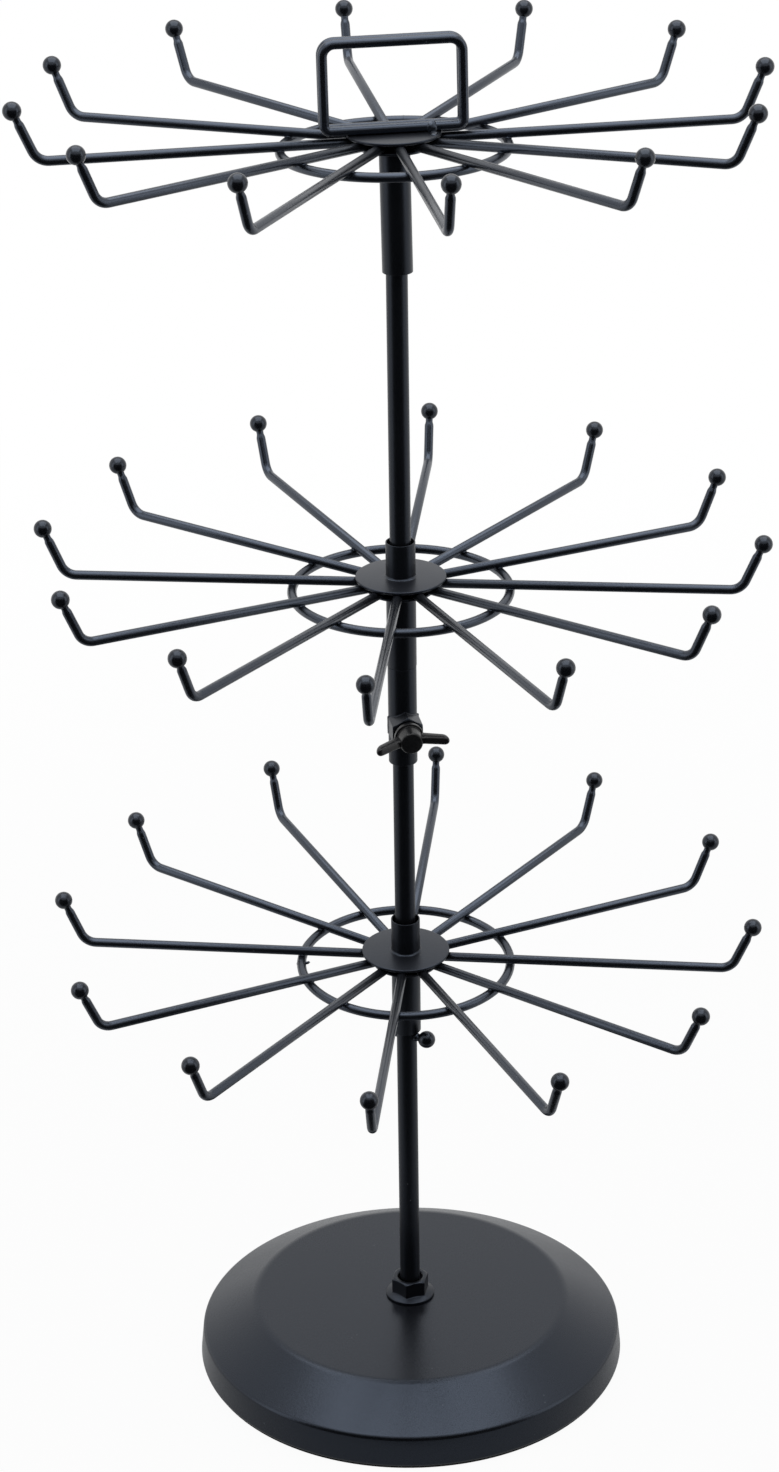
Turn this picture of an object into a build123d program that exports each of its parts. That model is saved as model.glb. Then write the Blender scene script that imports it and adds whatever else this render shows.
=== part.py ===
from build123d import *
from math import asin, atan, cos, degrees, pi, radians, sin, sqrt, tan
import os

# Three-tier revolving display stand: a weighted round base, a post, three
# twelve-hook spider tiers on loose sleeves, a sliding height collar with a
# wing-head clamp screw under the middle tier, and a ball-ended stop pin under
# the bottom tier. The bottom and top tiers lean as far as their sleeves allow.
# Millimetres, +Z up, origin on the ground at the centre of the base.
# Azimuths are degrees from +X towards +Y.

# ---------------------------------------------------------------- dimensions
# Weighted base: flat crown, conical slope, upright skirt
pad_thickness = 1.0
pad_inset = 1.6
base_radius = 95.8
base_height = 28.0
crown_radius = 70.2
crown_fillet = 14.0
skirt_height = 14.5
skirt_draft = 1.5
shoulder_fillet = 2.8
foot_chamfer = 1.4
thread_depth = 22.0

# Post: threaded foot, plain rod, crowned bearing end
thread_diameter = 9.9
post_diameter = 8.9
bearing_radius = 2.0
crown_rise = 1.0

# Flange nut that locks the post to the base
nut_across_flats = 15.0
nut_height = 9.4
nut_flange_diameter = 21.8
nut_flange_edge = 1.2
nut_flange_slope = 20.0
nut_countersink = 0.9
nut_azimuth = -101.7

# Heights of the arm centrelines above the ground
bottom_arm_height = 203.0
middle_arm_height = 379.0
top_arm_height = 568.5

# Sides towards which the two loose tiers lean
bottom_lean_azimuth = -88.0
top_lean_azimuth = 109.5

# Hooks: twelve bent wires per tier, each with a ball welded on its tip
hooks_per_tier = 12
wire_diameter = 4.0
arm_gap = 0.4
ball_circle_radius = 150.0
hook_angle = 67.0
hook_rise = 20.6
hook_bend_radius = 7.0
ball_diameter = 7.6
ball_cap_angle = 15.0
bottom_hook_azimuth = -5.9
middle_hook_azimuth = -5.3
top_hook_azimuth = 7.9

# Stiffening ring welded under the arms, closed by a butt joint
ring_diameter = 91.0
ring_set_down = 0.6
ring_joint_gap = 0.4
bottom_ring_joint_azimuth = 181.0
hidden_ring_joint_azimuth = 85.0

# Hub: two discs that clamp the arms, on a sleeve that turns on the post
top_plate_diameter = 38.0
lower_plate_diameter = 28.5
plate_thickness = 1.2
sleeve_wall = 0.55
sleeve_play = 1.25
sleeve_length = 56.0
sleeve_rim_height = 15.2

# Handle: two closed wire loops standing side by side on the top disc
handle_width = 55.7
handle_height = 34.7
handle_bend_radius = 5.0
handle_loop_gap = 0.05
handle_azimuth = 7.2

# Height collar that carries the middle tier, with its weld nut
collar_diameter = 12.2
collar_length = 44.5
weld_nut_across_flats = 13.0
weld_nut_face = 12.6
screw_height = 17.9
clamp_azimuth = -80.0

# Clamp screw and its wing head
screw_diameter = 8.0
head_gap = 1.2
head_length = 9.0
head_back_diameter = 12.4
head_front_diameter = 8.8
head_collar_length = 2.0
screw_seat_depth = 6.0
wing_span = 31.2
wing_thickness = 4.3
wing_depth = 7.0
wing_sweep = 6.0
wing_edge = 1.2
wing_turn = 5.7

# Stop pin through the post under the bottom sleeve
pin_diameter = 4.0
pin_ball_reach = 9.8
pin_tail_reach = 6.2
pin_azimuth = -28.0

# Fits
post_fit = 0.15
thread_fit = 0.05
screw_fit = 0.1
pin_fit = 0.1
bearing_gap = 0.1
clamp_gap = 0.05

# Facets of the repeated wires, discs, sleeves and balls
wire_sides = 8
bend_chords = 3
disc_sides = 32
tube_sides = 20
ring_chords = 30
ball_bands = 4

# ------------------------------------------------------------ derived values
wire_radius = wire_diameter / 2
post_radius = post_diameter / 2
hook_pitch = 360 / hooks_per_tier
arm_start = (wire_radius + arm_gap / 2) / sin(radians(hook_pitch / 2))
crown_height = pad_thickness + base_height
plate_top_offset = wire_radius + plate_thickness
sleeve_bore = post_diameter + 2 * sleeve_play
sleeve_diameter = sleeve_bore + 2 * sleeve_wall
tier_lean = degrees(atan((sleeve_play - post_fit) / (sleeve_length / 2)))


def sleeve_top(arm_height):
    return arm_height + plate_top_offset + sleeve_rim_height


bottom_sleeve_end = sleeve_top(bottom_arm_height) - sleeve_length
middle_sleeve_end = sleeve_top(middle_arm_height) - sleeve_length
top_plate_underside = top_arm_height + wire_radius
top_sleeve_end = top_plate_underside - sleeve_length
pin_height = bottom_sleeve_end - bearing_gap - pin_diameter / 2
collar_top = middle_sleeve_end - bearing_gap
collar_bottom = collar_top - collar_length


# ------------------------------------------------------------------- helpers
def lathe(*profile):
    """Solid of revolution about Z from (radius, height) points."""
    return revolve(Plane.XZ * make_face(Polyline(*profile, close=True)), Axis.Z)


def disc(diameter, sides, thickness, z):
    outline = RegularPolygon(diameter / 2, sides, major_radius=False)
    return extrude(Pos(0, 0, z) * outline, thickness)


def tube(diameter, bore, length, z):
    return disc(diameter, tube_sides, length, z) - disc(bore, tube_sides, length, z)


def around(piece, first_azimuth):
    """Twelve copies at the hook pitch, the first one at first_azimuth."""
    return [Rot(0, 0, first_azimuth + hook_pitch * k) * piece for k in range(hooks_per_tier)]


def along_azimuth(azimuth, height):
    """Frame on the axis whose Z points outwards along an azimuth."""
    outwards = Vector(cos(radians(azimuth)), sin(radians(azimuth)), 0)
    return Plane((0, 0, height), x_dir=(0, 0, 1), z_dir=outwards)


def chords(*corners, radius, close=False):
    """Polyline whose corners are bends of the given radius, in chords."""
    smooth = FilletPolyline(*corners, radius=radius, close=close)
    points = []
    for edge in smooth.edges():
        steps = 1 if edge.geom_type == GeomType.LINE else bend_chords
        points += [edge @ (i / steps) for i in range(steps)]
    if not close:
        points.append(smooth @ 1)
    return Polyline(*points, close=close)


def wire_section(diameter=wire_diameter):
    """Eight-sided wire with flats up and down, so that it seats on flat discs."""
    return RegularPolygon(diameter / 2, wire_sides, major_radius=False, rotation=180 / wire_sides)


def bent_wire(path, side):
    start = Plane(path @ 0, x_dir=side, z_dir=path % 0)
    return sweep(start * wire_section(), path=path, transition=Transition.RIGHT)


def seated_ball(seat_diameter):
    """Faceted ball centred on the origin, with a flat seat facing -Z."""
    radius = ball_diameter / 2
    seat_angle = asin(seat_diameter / ball_diameter)
    step = (radians(180 - ball_cap_angle) - seat_angle) / ball_bands
    bands = []
    for i in range(ball_bands):
        lower = seat_angle + step * i
        upper = lower + step
        section = Pos(0, 0, -radius * cos(lower)) * wire_section(2 * radius * sin(lower))
        rise = radius * (cos(lower) - cos(upper))
        narrowing = radius * (sin(lower) - sin(upper))
        bands.append(extrude(section, rise, taper=degrees(atan(narrowing / rise))))
    return bands[0] + bands[1:]


def seat_distance(seat_diameter):
    """From a ball's centre to the flat that a wire of this diameter is welded to."""
    return sqrt(ball_diameter**2 - seat_diameter**2) / 2


# ---------------------------------------------------------------------- base
def base_body():
    """Closed shell over a poured weight, with a threaded hole for the post."""
    shoulder_radius = base_radius - skirt_draft
    shoulder_height = pad_thickness + skirt_height
    hole_radius = thread_diameter / 2 + thread_fit
    profile = Polyline(
        (0, pad_thickness),
        (base_radius - foot_chamfer, pad_thickness),
        (base_radius, pad_thickness + foot_chamfer),
        (shoulder_radius, shoulder_height),
        (crown_radius, crown_height),
        (0, crown_height),
        close=True,
    )
    face = make_face(profile)
    shoulder = face.vertices().sort_by_distance((shoulder_radius, shoulder_height))[0]
    face = fillet(shoulder, shoulder_fillet)
    crown = face.vertices().sort_by_distance((crown_radius, crown_height))[0]
    face = fillet(crown, crown_fillet)
    body = revolve(Plane.XZ * face, Axis.Z)
    hole_bottom = crown_height - thread_depth
    return body - Pos(0, 0, hole_bottom) * Cylinder(
        hole_radius, thread_depth, align=(Align.CENTER, Align.CENTER, Align.MIN)
    )


def base_pad():
    radius = base_radius - pad_inset
    return Cylinder(radius, pad_thickness, align=(Align.CENTER, Align.CENTER, Align.MIN))


def flange_nut():
    z = crown_height
    bore = thread_diameter / 2 + thread_fit
    corner = nut_across_flats / sqrt(3)
    flange_radius = nut_flange_diameter / 2
    slope_drop = flange_radius * tan(radians(nut_flange_slope))
    corner_drop = (corner - nut_across_flats / 2) * tan(radians(30))
    flange = lathe(
        (0, z),
        (flange_radius, z),
        (flange_radius, z + nut_flange_edge),
        (0, z + nut_flange_edge + slope_drop),
    )
    hexagon = RegularPolygon(corner, 6, rotation=nut_azimuth)
    crown = lathe(
        (0, z),
        (corner, z),
        (corner, z + nut_height - corner_drop),
        (nut_across_flats / 2, z + nut_height),
        (0, z + nut_height),
    )
    prism = extrude(Pos(0, 0, z) * hexagon, nut_height) & crown
    opening = lathe(
        (0, z),
        (bore, z),
        (bore, z + nut_height - nut_countersink),
        (bore + nut_countersink, z + nut_height),
        (0, z + nut_height),
    )
    return flange + prism - opening


# ---------------------------------------------------------------------- post
def post():
    """Rod with a threaded foot, a cross hole and a crowned end that bears the top tier."""
    foot = crown_height - thread_depth + bearing_gap
    shank_start = crown_height + nut_height - 2 * nut_countersink
    end = top_plate_underside - bearing_gap
    thread_radius = thread_diameter / 2
    rod = lathe(
        (0, foot),
        (thread_radius, foot),
        (thread_radius, shank_start),
        (post_radius, shank_start),
        (post_radius, end - crown_rise),
        (bearing_radius, end),
        (0, end),
    )
    cross_hole = along_azimuth(pin_azimuth, pin_height) * Cylinder(
        pin_diameter / 2 + pin_fit, post_diameter * 2
    )
    return rod - cross_hole


# --------------------------------------------------------------------- tiers
def hook():
    """Straight arm, bend and rising leg, in the XZ plane at arm height."""
    lean = radians(hook_angle)
    apex = ball_circle_radius - hook_rise / tan(lean)
    leg = hook_rise / sin(lean) - seat_distance(wire_diameter)
    tip = (apex + leg * cos(lean), 0, leg * sin(lean))
    path = chords((arm_start, 0, 0), (apex, 0, 0), tip, radius=hook_bend_radius)
    return bent_wire(path, side=(0, 1, 0))


def hook_ball():
    lean = radians(hook_angle)
    up_the_leg = Plane(
        (ball_circle_radius, 0, hook_rise), x_dir=(0, 1, 0), z_dir=(cos(lean), 0, sin(lean))
    )
    return up_the_leg * seated_ball(wire_diameter)


def tier_ring(joint_azimuth, first_azimuth):
    """Ring under the arms, notched where each arm is welded down into it."""
    radius = ring_diameter / 2
    drop = wire_diameter - ring_set_down
    half_gap = degrees(ring_joint_gap / 2 / radius)
    step = (360 - 2 * half_gap) / ring_chords
    azimuths = [radians(joint_azimuth + half_gap + step * i) for i in range(ring_chords + 1)]
    path = Polyline(*[(radius * cos(a), radius * sin(a), -drop) for a in azimuths])
    ring = bent_wire(path, side=(0, 0, 1))
    arm_frame = Plane((radius - wire_diameter, 0, 0), x_dir=(0, 1, 0), z_dir=(1, 0, 0))
    arm = extrude(arm_frame * wire_section(), 2 * wire_diameter)
    return ring - around(arm, first_azimuth)


def hub_plate(diameter, z, open_centre=True):
    plate = disc(diameter, disc_sides, plate_thickness, z)
    if open_centre:
        plate -= disc(sleeve_diameter, tube_sides, plate_thickness, z)
    return plate


def leaning(azimuth, sleeve_end_height, seat_radius):
    """Pose of a tier that leans towards an azimuth until its sleeve meets the post,
    raised so that the low side of its seat keeps its bearing gap."""
    pivot = sleeve_end_height + sleeve_length / 2
    lift = seat_radius * sin(radians(tier_lean))
    tip = Rot(0, 0, azimuth) * Rot(0, tier_lean, 0) * Rot(0, 0, -azimuth)
    return Pos(0, 0, pivot + lift) * tip * Pos(0, 0, -pivot)


def tier(name, arm_height, first_azimuth, joint_azimuth, sleeve_end_height, pose, closed_top=False):
    """The six pieces of one revolving tier, keyed by node name."""
    lift = Pos(0, 0, arm_height)
    hooks = [lift * h for h in around(hook(), first_azimuth)]
    balls = [lift * b for b in around(hook_ball(), first_azimuth)]
    pieces = {
        "hooks": Compound(hooks),
        "ball_tips": Compound(balls),
        "ring": lift * tier_ring(joint_azimuth, first_azimuth),
        "top_plate": hub_plate(top_plate_diameter, arm_height + wire_radius, not closed_top),
        "lower_plate": hub_plate(lower_plate_diameter, arm_height - wire_radius - plate_thickness),
        "sleeve": tube(sleeve_diameter, sleeve_bore, sleeve_length, sleeve_end_height),
    }
    return {name + "_" + key: pose * piece for key, piece in pieces.items()}


def handle_loop(side):
    """One closed loop; side is +1 or -1 across the handle's plane."""
    half = handle_width / 2
    low = top_arm_height + plate_top_offset + wire_radius
    high = low + handle_height
    offset = side * (wire_diameter + handle_loop_gap) / 2
    path = chords(
        (-half, offset, low),
        (half, offset, low),
        (half, offset, high),
        (-half, offset, high),
        radius=handle_bend_radius,
        close=True,
    )
    return top_pose * Rot(0, 0, handle_azimuth) * bent_wire(path, side=(0, 1, 0))


# ------------------------------------------------------------- height collar
screw_axis_height = collar_bottom + screw_height
screw_frame = along_azimuth(clamp_azimuth, screw_axis_height)
screw_hole = screw_frame * Cylinder(
    screw_diameter / 2 + screw_fit, weld_nut_face, align=(Align.CENTER, Align.CENTER, Align.MIN)
)


def height_collar():
    outer = collar_diameter / 2
    inner = post_radius + post_fit
    body = lathe(
        (inner, collar_bottom),
        (outer, collar_bottom),
        (outer, collar_top),
        (inner, collar_top),
    )
    return body - screw_hole


def collar_weld_nut():
    """Hexagon nut whose back is saddled to the collar's curve."""
    corner = weld_nut_across_flats / sqrt(3)
    prism = extrude(screw_frame * RegularPolygon(corner, 6), weld_nut_face)
    saddle = Pos(0, 0, screw_axis_height) * Cylinder(collar_diameter / 2, 2 * weld_nut_across_flats)
    return prism - saddle - screw_hole


# --------------------------------------------------------------- clamp screw
head_back = weld_nut_face + head_gap


def clamp_screw():
    """Plain shank from the post's flank into the wing head."""
    radius = screw_diameter / 2
    tip = post_radius + clamp_gap
    end = head_back + screw_seat_depth
    shank = lathe((0, tip), (radius, tip), (radius, end), (0, end))
    return screw_frame * shank


def wing():
    """One wing, swept forward from the boss to its tip, as a chamfered bar."""
    half_span = wing_span / 2
    root_forward = head_back + head_length / 2
    stations = [(0, 0), (head_back_diameter / 2, 0.1), (half_span, 1)]
    sections = []
    for across, share in stations:
        bar = Rectangle(wing_thickness, wing_depth * (1 - 0.25 * share))
        bar = chamfer(bar.vertices(), wing_edge)
        forward = root_forward + wing_sweep * share
        sections.append(Plane((0, across, forward), x_dir=(1, 0, 0), z_dir=(0, 1, 0)) * bar)
    return loft(sections, ruled=True)


def wing_head():
    """Moulded boss with two swept wings, seated on the outer end of the screw."""
    back = head_back_diameter / 2
    front = head_front_diameter / 2
    boss = lathe(
        (0, head_back),
        (back, head_back),
        (back, head_back + head_collar_length),
        (front, head_back + head_length),
        (0, head_back + head_length),
    )
    seat = Pos(0, 0, head_back) * Cylinder(
        screw_diameter / 2 + screw_fit,
        screw_seat_depth + screw_fit,
        align=(Align.CENTER, Align.CENTER, Align.MIN),
    )
    wings = [wing(), mirror(wing(), Plane.XZ)]
    return screw_frame * Rot(0, 0, wing_turn) * (boss + wings - seat)


# ------------------------------------------------------------------ stop pin
pin_frame = along_azimuth(pin_azimuth, pin_height)


def stop_pin():
    radius = pin_diameter / 2
    seat = pin_ball_reach - seat_distance(pin_diameter)
    return pin_frame * lathe((0, -pin_tail_reach), (radius, -pin_tail_reach), (radius, seat), (0, seat))


def stop_pin_ball():
    return pin_frame * Pos(0, 0, pin_ball_reach) * seated_ball(pin_diameter)


# ------------------------------------------------------------------ assembly
bottom_pose = leaning(bottom_lean_azimuth, bottom_sleeve_end, sleeve_diameter / 2)
middle_pose = Pos(0, 0, 0)
top_pose = leaning(top_lean_azimuth, top_sleeve_end, bearing_radius)

nodes = {
    "base_body": base_body(),
    "base_pad": base_pad(),
    "base_flange_nut": flange_nut(),
    "post": post(),
    "handle_front_loop": handle_loop(-1),
    "handle_rear_loop": handle_loop(1),
    "height_collar": height_collar(),
    "collar_weld_nut": collar_weld_nut(),
    "clamp_screw": clamp_screw(),
    "wing_head": wing_head(),
    "stop_pin": stop_pin(),
    "stop_pin_ball": stop_pin_ball(),
}
nodes.update(
    tier(
        "bottom",
        bottom_arm_height,
        bottom_hook_azimuth,
        bottom_ring_joint_azimuth,
        bottom_sleeve_end,
        bottom_pose,
    )
)
nodes.update(
    tier(
        "middle",
        middle_arm_height,
        middle_hook_azimuth,
        hidden_ring_joint_azimuth,
        middle_sleeve_end,
        middle_pose,
    )
)
nodes.update(
    tier(
        "top",
        top_arm_height,
        top_hook_azimuth,
        hidden_ring_joint_azimuth,
        top_sleeve_end,
        top_pose,
        closed_top=True,
    )
)

os.makedirs("parts", exist_ok=True)
for name, shape in nodes.items():
    export_step(shape, "parts/" + name + ".step")
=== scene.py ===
from math import atan, copysign, cos, degrees, pi, radians, sin, sqrt, tan

import bmesh
import bpy
from mathutils import Matrix, Vector, noise


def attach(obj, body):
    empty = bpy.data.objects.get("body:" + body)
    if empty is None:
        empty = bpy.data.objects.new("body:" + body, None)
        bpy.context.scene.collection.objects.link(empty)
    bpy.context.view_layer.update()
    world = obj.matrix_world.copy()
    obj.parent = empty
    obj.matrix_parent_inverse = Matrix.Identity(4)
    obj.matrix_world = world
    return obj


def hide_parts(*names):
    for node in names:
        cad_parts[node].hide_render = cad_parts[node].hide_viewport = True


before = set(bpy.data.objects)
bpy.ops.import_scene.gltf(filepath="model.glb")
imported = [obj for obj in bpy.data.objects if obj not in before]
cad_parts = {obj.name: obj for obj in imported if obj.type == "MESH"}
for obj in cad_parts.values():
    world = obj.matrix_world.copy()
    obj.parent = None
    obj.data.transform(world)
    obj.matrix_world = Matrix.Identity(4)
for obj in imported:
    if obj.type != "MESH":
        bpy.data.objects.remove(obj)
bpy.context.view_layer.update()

# A three-tier revolving display stand in black coated steel: smooth round
# wires, balls, discs and sleeves over the frame's plainer solids.
# Sizes are millimetres until a mesh is made; azimuths are degrees from +X.
# A round thing's plain name, such as WIRE or SLEEVE, is its diameter.
MM = 0.001

# ------------------------------------------------------------------ base, post
PAD_THICKNESS, PAD_INSET, PAD_EASING = 1.0, 1.6, 0.3
BASE_RADIUS, BASE_HEIGHT, CROWN_RADIUS, CROWN_EASING = 95.8, 28.0, 70.2, 8.0
SKIRT_HEIGHT, SKIRT_DRAFT, SHOULDER_EASING, FOOT_EASING = 14.5, 1.5, 2.8, 2.0
CROWN_HEIGHT = PAD_THICKNESS + BASE_HEIGHT
THREAD, THREAD_PITCH, THREAD_GROOVE, THREAD_FIT = 9.9, 1.5, 0.7, 0.05
HOLE_DEPTH, HOLE_CHAMFER, ROD_IN_THREAD = 22.0, 0.3, 2.0
POST, BEARING_RADIUS, BEARING_RISE, BEARING_GAP = 8.9, 2.0, 1.0, 0.1
NUT_ACROSS_FLATS, NUT_HEIGHT, NUT_COUNTERSINK, NUT_AZIMUTH = 15.0, 9.4, 0.9, -101.7
NUT_FLANGE, NUT_FLANGE_EDGE, NUT_FLANGE_SLOPE = 21.8, 1.2, 20.0
WORN_CORNERS = 0.988  # of a sharp hexagon's radius
CHAMFER_SLOPE = 0.577  # a nut's corners are cut back at about 30 degrees

# ----------------------------------------------------------------------- tiers
ARM_HEIGHTS = {"bottom": 203.0, "middle": 379.0, "top": 568.5}
FIRST_HOOK = {"bottom": -5.9, "middle": -5.3, "top": 7.9}
LEANS_TOWARDS = {"bottom": -88.0, "top": 109.5}
RING_JOINT = {"bottom": 181.0, "middle": 85.0, "top": 85.0}
HOOKS, WIRE, WIRE_END_EASING, ARM_GAP = 12, 4.0, 0.3, 0.4
BALL_CIRCLE_RADIUS, BALL, HOOK_ANGLE, HOOK_RISE, HOOK_BEND = 150.0, 7.6, 67.0, 20.6, 7.0
# The neck's distance before the ball and its radius there, down to inside the ball.
NECK = [(3.0, 2.0), (2.5, 1.97), (2.0, 1.86), (1.5, 1.70), (1.1, 1.60), (0.6, 1.56), (-0.6, 1.62)]
RING, RING_SET_DOWN, RING_JOINT_GAP, RING_STEPS = 91.0, 0.6, 0.4, 120
# The ring's welds: one on each arm, a burr at the joint, and a spike beside the bottom one's burr.
ARM_WELD, ARM_WELD_RISE, BURR = (1.9, 1.9, 0.85), 0.05, (2.05, 0.75, 2.08)
SPIKE, SPIKE_PLACE, SPIKE_TIP = (1.5, 0.55, 0.6), (-2.3, 0.2, 0.5), 0.35
TOP_DISC, UNDER_DISC, DISC_THICKNESS, DISC_LOW_EDGE, DISC_HIGH_EDGE = 38.0, 28.5, 1.2, 0.3, 0.45
SLEEVE_WALL, SLEEVE_PLAY, SLEEVE_LENGTH, SLEEVE_RIM, SLEEVE_EASING = 0.55, 1.25, 56.0, 15.2, 0.2
SLEEVE = POST + 2 * SLEEVE_PLAY + 2 * SLEEVE_WALL
SLEEVE_FILLET = 0.7

HANDLE_WIDTH, HANDLE_HEIGHT, HANDLE_AZIMUTH, HANDLE_LOOP_GAP = 55.7, 34.7, 7.2, 0.05
HANDLE_BEND, HANDLE_FOOT_BEND = 5.0, 2.6
# Two lumps of weld on the front loop: each one's size, and its place from the wire's middle.
# One is tipped, as the spike is, by radians; the other is turned by degrees.
WIRE_LUMP, WIRE_LUMP_PLACE, WIRE_LUMP_TIP = (2.3, 1.6, 2.5), (14.8, -1.1, 0.0), -0.35
DISC_LUMP, DISC_LUMP_PLACE, DISC_LUMP_TURN = (1.8, 3.5, 0.9), (15.2, -4.4, -2.0), -8

# ---------------------------------------------------------- collar, clamp, pin
COLLAR, COLLAR_LENGTH, COLLAR_EASING, SCREW_HEIGHT, CLAMP_AZIMUTH = 12.2, 44.5, 0.35, 17.9, -80.0
WELD_NUT, WELD_NUT_FACE, WELD_NUT_COUNTERSINK = 13.0, 12.6, 0.6
# Rows of the bead round the weld nut: its swell from the nut's sides, how far out
# from them the collar's height is taken, and its rise above that.
BEAD_ROWS = [
    (-0.4, -0.3, -0.4), (0.3, 0.25, -0.3), (0.26, 0.2, 0.1),
    (0.1, 0.0, 0.4), (-0.05, 0.0, 0.75), (-0.4, -0.3, 0.7),
]
SCREW, SCREW_PITCH, SCREW_GROOVE, SCREW_SEAT = 8.0, 1.25, 0.62, 6.0
HEAD_GAP, HEAD_LENGTH, HEAD_BACK, HEAD_FRONT, HEAD_COLLAR = 1.2, 9.0, 12.4, 8.8, 2.0
HEAD_STEP, HEAD_DOME, HEAD_FRONT_EASING, HEAD_CREASE = 0.9, 0.35, 1.0, 50
WING_SPAN, WING_THICKNESS, WING_DEPTH, WING_SWEEP, WING_TURN = 31.2, 4.0, 5.8, 6.0, 5.7
WING_TIP, WING_TIP_END, WING_TAPER, WING_SQUARENESS = 2.4, 0.05, 0.25, 0.66
WING_ROWS, WING_SIDES = 26, 28
PIN, PIN_BALL_REACH, PIN_TAIL_REACH, PIN_AZIMUTH = 4.0, 9.8, 6.2, -28.0
PIN_TAIL_EASING, PIN_NECK_DEPTH, PIN_IN_BALL = 0.7, 0.35, 0.6
POST_FIT, SCREW_FIT, CLAMP_GAP = 0.15, 0.1, 0.05

# ------------------------------------------------------ worked out from the above
ARM_START = (WIRE / 2 + ARM_GAP / 2) / sin(pi / HOOKS)
DISC_TOP = WIRE / 2 + DISC_THICKNESS
SLEEVE_END = {
    "bottom": ARM_HEIGHTS["bottom"] + DISC_TOP + SLEEVE_RIM - SLEEVE_LENGTH,
    "middle": ARM_HEIGHTS["middle"] + DISC_TOP + SLEEVE_RIM - SLEEVE_LENGTH,
    "top": ARM_HEIGHTS["top"] + WIRE / 2 - SLEEVE_LENGTH,
}
PIN_HEIGHT = SLEEVE_END["bottom"] - BEARING_GAP - PIN / 2
COLLAR_TOP = SLEEVE_END["middle"] - BEARING_GAP
COLLAR_BOTTOM = COLLAR_TOP - COLLAR_LENGTH
POST_END = ARM_HEIGHTS["top"] + WIRE / 2 - BEARING_GAP
LEAN = atan((SLEEVE_PLAY - POST_FIT) / (SLEEVE_LENGTH / 2))
SEAT_RADIUS = {"bottom": SLEEVE / 2, "top": BEARING_RADIUS}
HEAD_START = WELD_NUT_FACE + HEAD_GAP


def linked(name, data):
    """An object of the scene that shows a mesh, a lamp or a camera."""
    made = bpy.data.objects.new(name, data)
    bpy.context.scene.collection.objects.link(made)
    return made


# --------------------------------------------------------------------- camera
# Its place is in metres and its angles are radians. The focal length is that of
# the photograph, whose height takes the sensor's width in millimetres.
CAMERA_PLACE = (0, -1.49146, 1.00358)
CAMERA_PITCH, CAMERA_YAW, CAMERA_ROLL = 0.436163, -0.003813, -0.014891
FOCAL_LENGTH_PIXELS, PICTURE_HEIGHT_PIXELS, SENSOR_WIDTH = 3877.12, 1472, 36


def aim_camera():
    """Looks at the stand from the front and somewhat above."""
    level_share = cos(CAMERA_PITCH)
    ahead = Vector((sin(CAMERA_YAW) * level_share, cos(CAMERA_YAW) * level_share, -sin(CAMERA_PITCH)))
    level = Vector((cos(CAMERA_YAW), -sin(CAMERA_YAW), 0))
    upright = level.cross(ahead)
    right = level * cos(CAMERA_ROLL) + upright * sin(CAMERA_ROLL)
    up = upright * cos(CAMERA_ROLL) - level * sin(CAMERA_ROLL)
    data = bpy.data.cameras.new("stand_camera")
    data.sensor_width = SENSOR_WIDTH
    data.lens = FOCAL_LENGTH_PIXELS / PICTURE_HEIGHT_PIXELS * SENSOR_WIDTH
    data.clip_start, data.clip_end = 0.05, 30
    camera = linked("stand_camera", data)
    turn = Matrix((right, up, -ahead)).transposed().to_4x4()
    camera.matrix_world = Matrix.Translation(CAMERA_PLACE) @ turn
    bpy.context.scene.camera = camera


# ------------------------------------------------------------------ materials
class Socket:
    """A socket of a shader graph. Sums on value sockets add Math nodes."""

    def __init__(self, graph, link):
        self.graph, self.link = graph, link

    def _math(self, operation, *values):
        return self.graph.node("Math", {"operation": operation}, dict(enumerate(values)))

    def __add__(self, other):
        return self._math("ADD", self, other)

    __radd__ = __add__

    def __sub__(self, other):
        return self._math("SUBTRACT", self, other)

    def __rsub__(self, other):
        return self._math("SUBTRACT", other, self)

    def __mul__(self, other):
        return self._math("MULTIPLY", self, other)

    __rmul__ = __mul__

    def above(self, edge, softness):
        """0 below the edge, 1 above it, with a soft step between."""
        return self.graph.node(
            "MapRange",
            {"interpolation_type": "SMOOTHSTEP"},
            {"Value": self, "From Min": edge, "From Max": edge + softness},
        )


class Graph:
    """Builds the nodes of one material or world."""

    def __init__(self, tree):
        self.tree = tree
        tree.nodes.clear()

    def node(self, kind, settings={}, inputs={}, output=0):
        made = self.tree.nodes.new("ShaderNode" + kind)
        for name, value in settings.items():
            setattr(made, name, value)
        for name, value in inputs.items():
            socket = made.inputs[name]
            if isinstance(value, Socket):
                self.tree.links.new(value.link, socket)
            else:
                socket.default_value = value
        return Socket(self, made.outputs[output]) if made.outputs else None

    def place(self):
        """Position on the object, in metres."""
        return self.node("TexCoord", output="Object")

    def noise(self, scale, detail=2.0, roughness=0.5):
        """Smooth noise with about that many waves to the metre."""
        settings = {"Scale": scale, "Detail": detail, "Roughness": roughness, "Vector": self.place()}
        return self.node("TexNoise", {}, settings)

    def cells(self, scale):
        """Distance to the nearest of scattered points."""
        return self.node("TexVoronoi", {}, {"Scale": scale, "Vector": self.place()})

    def mix(self, share, first, second):
        ends = [(*end, 1) if isinstance(end, tuple) else end for end in (first, second)]
        return self.node("Mix", {"data_type": "RGBA"}, {0: share, 6: ends[0], 7: ends[1]}, output=2)

    def bump(self, height, distance, strength):
        return self.node("Bump", {}, {"Height": height, "Distance": distance, "Strength": strength})

    def skin(self, colour, roughness, specular, normal, tint=(1.0, 1.0, 1.0)):
        """Ends a material in one opaque surface."""
        self.finish("OutputMaterial", self.node("BsdfPrincipled", {}, {
            "Base Color": colour,
            "Roughness": roughness,
            "Specular IOR Level": specular,
            "Specular Tint": (*tint, 1),
            "Normal": normal,
        }))

    def finish(self, kind, surface):
        self.node(kind, {}, {"Surface": surface})


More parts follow.
